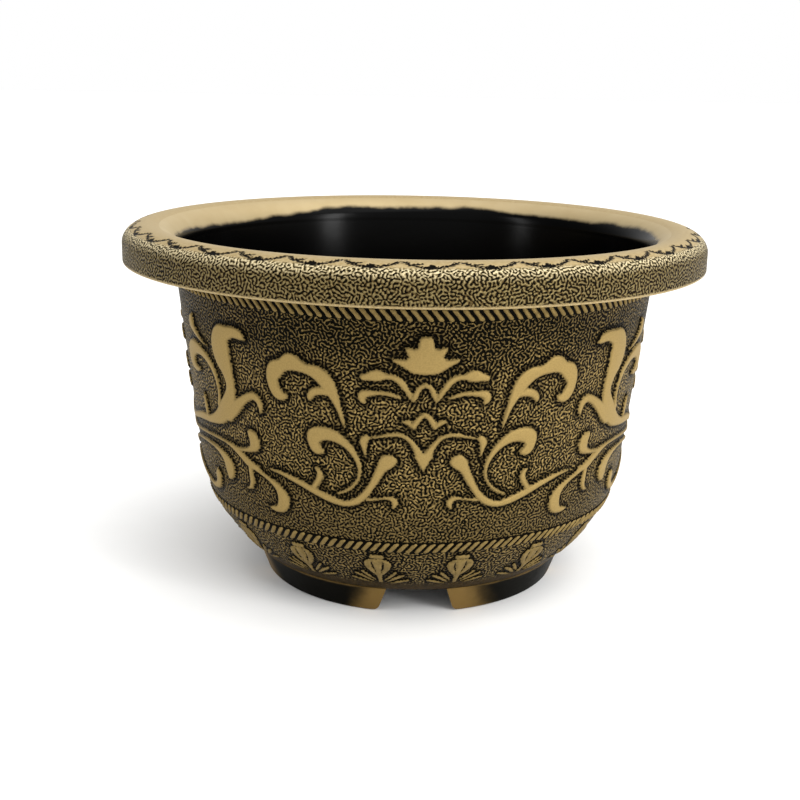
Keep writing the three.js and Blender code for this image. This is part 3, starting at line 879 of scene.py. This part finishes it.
def build_wall():
    field = ReliefField(QUARTER_TURN, 52, 154, 0.35)
    for knots in SCROLL_STROKES:
        field.stroke(knots)
    for half in (CREST_OUTLINE, DROP_OUTLINE, SIDE_CREST_OUTLINE):
        field.outline(half)
    heights = np.linspace(LOWER_ROPE_MIDDLE, WALL_TOP, 180)
    _, grid_angle, radius, height = ring_grid(np.column_stack([outer_radius(heights), heights]))
    gap = field.sample(grid_angle * LAYOUT_RADIUS, height)
    raise_by = relief(gap, sizes().relief_height / MM, sizes().relief_edge / MM)
    points = turned(grid_angle, radius + raise_by, height)
    normals = outward_normals(points)
    material = rubbed_wall_paint()
    quarter = ROUND_COLUMNS // 4
    for name, start in (("frieze_wall_front", -quarter), ("frieze_wall_back", quarter)):
        pick = np.arange(start, start + 2 * quarter + 1)
        wrapped = pick % ROUND_COLUMNS
        turn = pick * 2 * math.pi / ROUND_COLUMNS
        mesh = lattice(
            name, points[:, wrapped], strips=2, grain=(folded_arc(turn, LAYOUT_RADIUS), heights),
            paint={"scroll_gap": gap[:, wrapped]}, normals=normals[:, wrapped])
        place(name, mesh, material, ["bowl_wall"])


def bud_course_paint():
    """The crinkled plastic of the bud course, with the buds wiped brass and the hem left smoky.

    It gives the eye brass buds on a dull wall that sinks into black smoke above the foot.
    """
    material, tree = blank_material("brass_rubbed_bud_plastic")
    tone = colours()
    place_on, grain = crinkle(tree)
    gap = add(tree, ATTRIBUTE, attribute_name="scroll_gap")
    height = add(tree, "ShaderNodeSeparateXYZ", {"Vector": place_on}).outputs["Y"]
    plate = ragged_edge(tree, gap, grain, -0.4, 0.1, -0.35)
    # painted shade: less paint on the grain beside each bud
    painted_shade_halo = add(tree, RANGE, {
        "Value": gap.outputs["Fac"], "From Min": 0.3, "From Max": 2.6,
        "To Min": 0.6, "To Max": 0.0}, **SMOOTH)
    threshold = add(tree, MATH, {0: 0.52, 1: painted_shade_halo}, operation="ADD")
    above = add(tree, MATH, {0: grain, 1: threshold}, operation="SUBTRACT")
    ridge = add(tree, RANGE, {"Value": above, "From Min": -0.05, "From Max": 0.1}, **SMOOTH)
    speck = add(tree, NOISE, {"Vector": place_on, "Scale": 0.35, "Detail": 3.0, "Roughness": 0.65}, **FLAT)
    ground = wiped_grain(tree, above, speck, 0.85)
    bud = add(tree, MIX, {"Fac": speck, "Color1": tone.brass, "Color2": tone.worn_brass})
    shaped = add(tree, MIX, {"Fac": plate, "Color1": ground, "Color2": bud})
    drift = add(tree, MATH, {0: speck, 1: 4.0, 2: height}, operation="MULTIPLY_ADD")
    hem = add(tree, RANGE, {"Value": drift, "From Min": 24.5, "From Max": 20.5}, **SMOOTH)
    smoky = add(tree, MIX, {"Fac": speck, "Color1": tone.plastic, "Color2": tone.smoke})
    colour = add(tree, MIX, {"Fac": hem, "Color1": shaped, "Color2": smoky})
    painted = add(tree, MATH, {0: ridge, 1: plate}, operation="MAXIMUM")
    flat = add(tree, MATH, {0: plate, 1: hem}, operation="MAXIMUM")
    high = standing_grain(tree, grain, flat)
    finish_surface(tree, colour, (painted, 0.0, 1.0, 0.42, 0.5), (high, 1.0, GRAIN_DEPTH), painted)
    return material


def build_buds():
    """The course below the lower rope, with its row of buds."""
    field, slots = (ReliefField(HALF_BUD, 16, 44, 0.25) for _ in range(2))
    for half in (BUD_OUTLINE, BUD_CAP):
        field.outline(half)
    for knots in BUD_LEAVES:
        field.stroke(knots)
    for knots in BUD_SLOTS:
        slots.stroke(knots)
    field.gap = np.maximum(field.gap, -slots.gap)
    heights = np.linspace(FOOT_TOP + 0.5, LOWER_ROPE_MIDDLE, 50)
    hem = [(80.6, FOOT_TOP), (FOOT_TOP_RADIUS - 0.5, FOOT_TOP)]
    profile = np.vstack([hem, np.column_stack([outer_radius(heights), heights])])
    angle, grid_angle, radius, height = ring_grid(profile)
    gap = field.sample(grid_angle * LAYOUT_RADIUS + HALF_BUD, height)
    raise_by = relief(gap, 0.8 * sizes().relief_height / MM, sizes().relief_edge / MM)
    raise_by = raise_by * smooth_step((height - 17.5) / 3)
    points = turned(grid_angle, radius + raise_by, height)
    run = run_length(profile)
    mesh = lattice(
        "bud_course", points, strips=4, closed=True, row_share=run / run[-1],
        grain=(folded_arc(angle, 98.0), profile[:, 1]), paint={"scroll_gap": gap})
    place("bud_course", mesh, bud_course_paint(), ["bowl_base"])


def strand_mesh(name, tall, wide, lean, bend, proud):
    """One strand: a rounded bar that leans and bends like an S, standing off the wall along X."""
    rows, around = 9, 8
    points, crests = [], []
    for i, t in enumerate(np.linspace(-1, 1, rows)):
        taper = max(0.05, 1 - abs(t) ** 8) ** 0.4
        middle = lean * t / 2 + bend * math.sin(math.pi * t)
        for k in range(around):
            turn = math.pi * k / (around - 1)
            across = -math.cos(turn) * wide / 2 * taper
            out = proud * taper * math.sin(turn) ** 0.7 - 0.35
            points.append((out, middle + across, t * tall / 2))
            crests.append(math.sin(turn) ** 0.8 * taper)
    faces = []
    for i in range(rows - 1):
        for k in range(around - 1):
            a = i * around + k
            faces.append((a, a + 1, a + around + 1, a + around))
    mesh = bpy.data.meshes.new(name)
    mesh.from_pydata([tuple(v * MM for v in p) for p in points], [], faces)
    mesh.polygons.foreach_set("use_smooth", np.ones(len(faces), bool))
    store = mesh.attributes.new("crest", "FLOAT", "POINT")
    store.data.foreach_set("value", crests)
    return mesh


def rope_tree(material):
    """Geometry nodes that set a ring of strands on the pot."""
    tree = bpy.data.node_groups.new("rope_band", "GeometryNodeTree")
    sockets = {}
    for label, kind, direction in (
            ("Core", "NodeSocketGeometry", "INPUT"), ("Strand", "NodeSocketObject", "INPUT"),
            ("Strands", "NodeSocketInt", "INPUT"), ("Radius", "NodeSocketFloat", "INPUT"),
            ("Height", "NodeSocketFloat", "INPUT"), ("Tilt", "NodeSocketFloat", "INPUT"),
            ("Rope", "NodeSocketGeometry", "OUTPUT")):
        sockets[label] = tree.interface.new_socket(name=label, in_out=direction, socket_type=kind).identifier
    given = add(tree, "NodeGroupInput")
    circle = add(tree, "GeometryNodeMeshCircle", {
        "Vertices": given.outputs["Strands"], "Radius": given.outputs["Radius"]})
    number = add(tree, "GeometryNodeInputIndex")
    share = add(tree, MATH, {0: number, 1: given.outputs["Strands"]}, operation="DIVIDE")
    turn = add(tree, MATH, {0: share, 1: 2 * math.pi}, operation="MULTIPLY")
    facing = add(tree, "ShaderNodeCombineXYZ", {"Y": given.outputs["Tilt"], "Z": turn})
    strand = add(tree, "GeometryNodeObjectInfo", {"Object": given.outputs["Strand"]})
    copies = add(tree, "GeometryNodeInstanceOnPoints", {
        "Points": circle, "Instance": strand.outputs["Geometry"], "Rotation": facing})
    up = add(tree, "ShaderNodeCombineXYZ", {"Z": given.outputs["Height"]})
    lifted = add(tree, "GeometryNodeTransform", {"Geometry": copies, "Translation": up})
    joined = add(tree, "GeometryNodeJoinGeometry", {"Geometry": lifted})
    tree.links.new(given.outputs["Core"], joined.inputs["Geometry"])
    solid = add(tree, "GeometryNodeRealizeInstances", {"Geometry": joined})
    painted = add(tree, "GeometryNodeSetMaterial", {"Geometry": solid, "Material": material})
    add(tree, "NodeGroupOutput", {"Rope": painted})
    return tree, sockets


def build_rope(label, middle, count, tree, sockets, strand):
    """Lays one rope band and turns it into a plain mesh."""
    name = label + "_rope"
    rows, half = 9, 3.5
    heights = np.linspace(middle - half, middle + half, rows)
    swell = 0.35 * np.cos(np.linspace(-1, 1, rows) * math.pi / 2) - 0.05
    profile = np.column_stack([outer_radius(heights) + swell, heights])
    _, grid_angle, radius, height = ring_grid(profile, 260)
    core = lattice(
        name + "_core", turned(grid_angle, radius, height), closed=True, paint={"crest": 0 * radius})
    core.uv_layers.remove(core.uv_layers["OFBake"])
    holder = bpy.data.objects.new(name + "_core", core)
    post = bpy.data.objects.new(name + "_strand", strand)
    for item in (holder, post):
        bpy.context.scene.collection.objects.link(item)
    slope = float((outer_radius(middle + 1) - outer_radius(middle - 1)) / 2)
    modifier = holder.modifiers.new("rope", "NODES")
    modifier.node_group = tree
    for key, value in (("Strand", post), ("Strands", count), ("Height", middle * MM),
                       ("Radius", float(outer_radius(middle)) * MM), ("Tilt", math.atan(slope))):
        modifier[sockets[key]] = value
    bpy.context.view_layer.update()
    graph = bpy.context.evaluated_depsgraph_get()
    made = bpy.data.meshes.new_from_object(holder.evaluated_get(graph), depsgraph=graph)
    bpy.data.objects.remove(holder)
    bpy.data.objects.remove(post)
    made.name = name
    place(name, made, None, [name + "_band"])


def build_ropes():
    tree, sockets = rope_tree(rope_paint())
    # a strand's height, width, lean, bend and depth in millimetres
    for label, middle, count, shape in (
            ("upper", UPPER_ROPE_MIDDLE, sizes().upper_strands, (6.5, 2.9, -3.9, -0.35, 1.4)),
            ("lower", LOWER_ROPE_MIDDLE, sizes().lower_strands, (6.2, 2.9, 4.4, 0.0, 1.3))):
        build_rope(label, middle, count, tree, sockets, strand_mesh(label + "_strand", *shape))


def build_feet():
    """The four foot segments, each closed at its notch faces."""
    material = smoky_foot_paint()
    bevel = 0.35
    low = np.concatenate([
        np.linspace(bevel, NOTCH_ROUND, 8), np.linspace(NOTCH_ROUND, FOOT_TOP - 0.3, 22)[1:]])
    outer = np.column_stack([np.interp(low, [0, FOOT_TOP], [FOOT_BOTTOM_RADIUS, FOOT_TOP_RADIUS]), low])
    inner = outer[::-1].copy()
    inner[:, 0] -= FOOT_THICKNESS
    bottom = [(outer[0, 0] - bevel, 0.0), (inner[-1, 0] + bevel, 0.0)]
    top = [(outer[-1, 0] - 0.2, FOOT_TOP - 0.05), (inner[0, 0] + 0.2, FOOT_TOP - 0.05)]
    section = np.vstack([bottom[1:], bottom[:1], outer, top, inner, bottom[1:]])
    quarter = math.pi / 2
    columns = 150
    even = np.linspace(-1, 1, columns)
    spread = (np.sign(even) * (1 - (1 - np.abs(even)) ** 1.15) + 1) / 2
    radius, height = (np.repeat(section[:, i:i + 1], columns, axis=1) for i in (0, 1))
    half = NOTCH_BOTTOM + (NOTCH_TOP - NOTCH_BOTTOM) * height / FOOT_TOP
    dip = np.clip(NOTCH_ROUND - height, 0, NOTCH_ROUND)
    half = half + NOTCH_ROUND - np.sqrt(NOTCH_ROUND ** 2 - dip ** 2)
    edge = np.arcsin(half / radius)
    for number in range(4):
        start = number * quarter
        angle = start + edge + (quarter - 2 * edge) * spread[None, :]
        away = np.minimum(angle - start - edge, start + quarter - edge - angle) * radius
        reach = np.where(angle - start < quarter / 2, 34.0, 24.0)
        # brass dust with painted light at the notch corners, and brass dust along the upper edge
        notch_dust_and_painted_light = np.maximum(0.9 * (1 - smooth_step(away / reach)),
                             0.55 * smooth_step((height - FOOT_TOP + 2.2) / 2.2))
        name = f"foot_segment_{number + 1}"
        mesh = lattice(name + "_smooth", turned(angle, radius, height), paint={"notch_dust_and_painted_light": notch_dust_and_painted_light})
        place(name + "_smooth", mesh, material, [name])
        cap_ends(mesh, len(section), columns)


def cap_ends(mesh, rows, columns):
    """Closes the two notch faces of a foot segment and creases its edges."""
    shape = bmesh.new()
    shape.from_mesh(mesh)
    shape.verts.ensure_lookup_table()
    for column, flip in ((0, True), (columns - 1, False)):
        ring = [shape.verts[row * columns + column] for row in range(rows - 1)]
        face = shape.faces.new(ring if flip else ring[::-1])
        face.smooth = False
    bmesh.ops.remove_doubles(shape, verts=shape.verts, dist=1e-7)
    bmesh.ops.triangulate(shape, faces=[f for f in shape.faces if len(f.verts) > 4])
    bmesh.ops.recalc_face_normals(shape, faces=shape.faces)
    shape.to_mesh(mesh)
    shape.free()
    mesh.set_sharp_from_angle(angle=math.radians(50))


def build_floor():
    """The drained floor keeps its solid and gets the inside's finish."""
    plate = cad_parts["floor_plate"]
    plate.data.materials.clear()
    plate.data.materials.append(gloss_black_plastic())


# ---- Stage ----

def look_from(distance, height, turn, pitch, roll):
    """Camera placement: distance and height in millimetres, angles in radians."""
    ahead = Vector((math.sin(turn) * math.cos(pitch), math.cos(turn) * math.cos(pitch), -math.sin(pitch)))
    right = Vector((math.cos(turn), -math.sin(turn), 0))
    up = right.cross(ahead)
    side = right * math.cos(roll) + up * math.sin(roll)
    top = up * math.cos(roll) - right * math.sin(roll)
    turned_to = Matrix((side, top, -ahead)).transposed().to_4x4()
    stand = Vector((-math.sin(turn) * distance, -math.cos(turn) * distance, height)) * MM
    return Matrix.Translation(stand) @ turned_to


def soft_light(name, power, size, stand, target):
    """A rectangular light in metres that the camera doesn't see."""
    data = bpy.data.lights.new(name, "AREA")
    data.shape = "RECTANGLE"
    data.size, data.size_y = size
    data.energy = power
    lamp = bpy.data.objects.new(name, data)
    bpy.context.scene.collection.objects.link(lamp)
    lamp.location = stand
    lamp.rotation_euler = (Vector(target) - Vector(stand)).to_track_quat("-Z", "Y").to_euler()
    lamp.visible_camera = False


def build_camera():
    data = bpy.data.cameras.new("camera")
    data.sensor_width = 36.0
    data.lens = 55.75
    data.shift_x = -0.0149
    data.clip_start = 0.01
    data.clip_end = 60.0
    camera = bpy.data.objects.new("camera", data)
    bpy.context.scene.collection.objects.link(camera)
    camera.matrix_world = look_from(
        distance=650.0, height=261.4, turn=math.radians(2.8), pitch=0.2596, roll=0.0188)
    bpy.context.scene.camera = camera


def build_world():
    """A white room whose left side lights the pot less, though it looks as white as the rest."""
    world = bpy.data.worlds.new("soft_white_room")
    world.use_nodes = True
    tree = world.node_tree
    tree.nodes.clear()
    facing = add(tree, "ShaderNodeTexCoord")
    sideways = add(tree, "ShaderNodeSeparateXYZ", {"Vector": facing.outputs["Generated"]})
    dimmed = add(tree, RANGE, {
        "Value": sideways, "From Min": -0.95, "From Max": -0.4, "To Min": 0.3}, **SMOOTH)
    path = add(tree, "ShaderNodeLightPath")
    strength = add(tree, MATH, {0: dimmed, 1: path.outputs["Is Camera Ray"]}, operation="MAXIMUM")
    shine = add(tree, "ShaderNodeBackground", {"Color": (1, 1, 1, 1), "Strength": strength})
    add(tree, "ShaderNodeOutputWorld", {"Surface": shine})
    bpy.context.scene.world = world


def build_stage():
    scene = bpy.context.scene
    scene.view_settings.view_transform = "Standard"
    mesh = bpy.data.meshes.new("studio_floor")
    reach = 12.0
    corners = [(-reach, -reach, 0), (reach, -reach, 0), (reach, reach, 0), (-reach, reach, 0)]
    mesh.from_pydata(corners, [], [(0, 1, 2, 3)])
    mesh.materials.append(pale_floor_paint())
    ground = bpy.data.objects.new("studio_floor", mesh)
    scene.collection.objects.link(ground)
    ground.location.z = -0.0004
    build_camera()
    build_world()
    overhead = bpy.data.lights.new("overhead_sky", "SUN")
    overhead.energy = 2.2
    overhead.angle = math.radians(70)
    lamp = bpy.data.objects.new("overhead_sky", overhead)
    scene.collection.objects.link(lamp)
    lamp.rotation_euler = (math.radians(12), math.radians(16), 0)
    aim = (0, 0.1, 0.15)
    soft_light("right_strip", 9.0, (0.2, 0.8), (0.75, -0.75, 0.42), aim)
    soft_light("left_strip", 3.0, (0.12, 0.8), (-0.95, -0.45, 0.42), aim)


# ---- Operators ----

class PLANTER_OT_rim(bpy.types.Operator):
    """Build the rolled rim and its hollow skirt."""
    bl_idname = "planter.rim"
    bl_label = "Build rim"

    def execute(self, context):
        build_rim()
        return {"FINISHED"}


class PLANTER_OT_lip(bpy.types.Operator):
    """Build the smooth lip inside the mouth."""
    bl_idname = "planter.lip"
    bl_label = "Build mouth lip"

    def execute(self, context):
        build_lip()
        return {"FINISHED"}


class PLANTER_OT_wall(bpy.types.Operator):
    """Build the two halves of the scroll wall."""
    bl_idname = "planter.wall"
    bl_label = "Build scroll wall"

    def execute(self, context):
        build_wall()
        return {"FINISHED"}


class PLANTER_OT_lining(bpy.types.Operator):
    """Build the black inside of the bowl."""
    bl_idname = "planter.lining"
    bl_label = "Build lining"

    def execute(self, context):
        build_lining()
        return {"FINISHED"}


class PLANTER_OT_ropes(bpy.types.Operator):
    """Lay both rope bands with geometry nodes."""
    bl_idname = "planter.ropes"
    bl_label = "Build rope bands"

    def execute(self, context):
        build_ropes()
        return {"FINISHED"}


class PLANTER_OT_buds(bpy.types.Operator):
    """Build the course of buds above the foot."""
    bl_idname = "planter.buds"
    bl_label = "Build bud course"

    def execute(self, context):
        build_buds()
        return {"FINISHED"}


class PLANTER_OT_feet(bpy.types.Operator):
    """Build the four foot segments."""
    bl_idname = "planter.feet"
    bl_label = "Build foot"

    def execute(self, context):
        build_feet()
        return {"FINISHED"}


class PLANTER_OT_floor(bpy.types.Operator):
    """Finish the drained floor plate."""
    bl_idname = "planter.floor"
    bl_label = "Finish floor plate"

    def execute(self, context):
        build_floor()
        return {"FINISHED"}


class PLANTER_OT_stage(bpy.types.Operator):
    """Set up the floor, the camera and the lights."""
    bl_idname = "planter.stage"
    bl_label = "Set the stage"

    def execute(self, context):
        build_stage()
        return {"FINISHED"}


class PLANTER_PT_panel(bpy.types.Panel):
    """Sizes, colours and build steps of the planter."""
    bl_idname = "PLANTER_PT_panel"
    bl_label = "Brass Planter"
    bl_space_type = "VIEW_3D"
    bl_region_type = "UI"
    bl_category = "Planter"

    def draw(self, context):
        column = self.layout.column()
        for group in (context.scene.planter_sizes, context.scene.planter_colours):
            for key in group.bl_rna.properties.keys():
                if key not in {"rna_type", "name"}:
                    column.prop(group, key)
        for step in BUILD_STEPS:
            column.operator(step.bl_idname)


BUILD_STEPS = (
    PLANTER_OT_stage, PLANTER_OT_rim, PLANTER_OT_lip, PLANTER_OT_wall, PLANTER_OT_lining,
    PLANTER_OT_ropes, PLANTER_OT_buds, PLANTER_OT_feet, PLANTER_OT_floor)
CLASSES = (PlanterSizes, PlanterColours, *BUILD_STEPS, PLANTER_PT_panel)


def register():
    for item in CLASSES:
        bpy.utils.register_class(item)
    bpy.types.Scene.planter_sizes = PointerProperty(type=PlanterSizes)
    bpy.types.Scene.planter_colours = PointerProperty(type=PlanterColours)


def unregister():
    del bpy.types.Scene.planter_colours
    del bpy.types.Scene.planter_sizes
    for item in reversed(CLASSES):
        bpy.utils.unregister_class(item)


def main():
    register()
    for step in BUILD_STEPS:
        group, action = step.bl_idname.split(".")
        getattr(getattr(bpy.ops, group), action)()


if __name__ == "__main__":
    main()
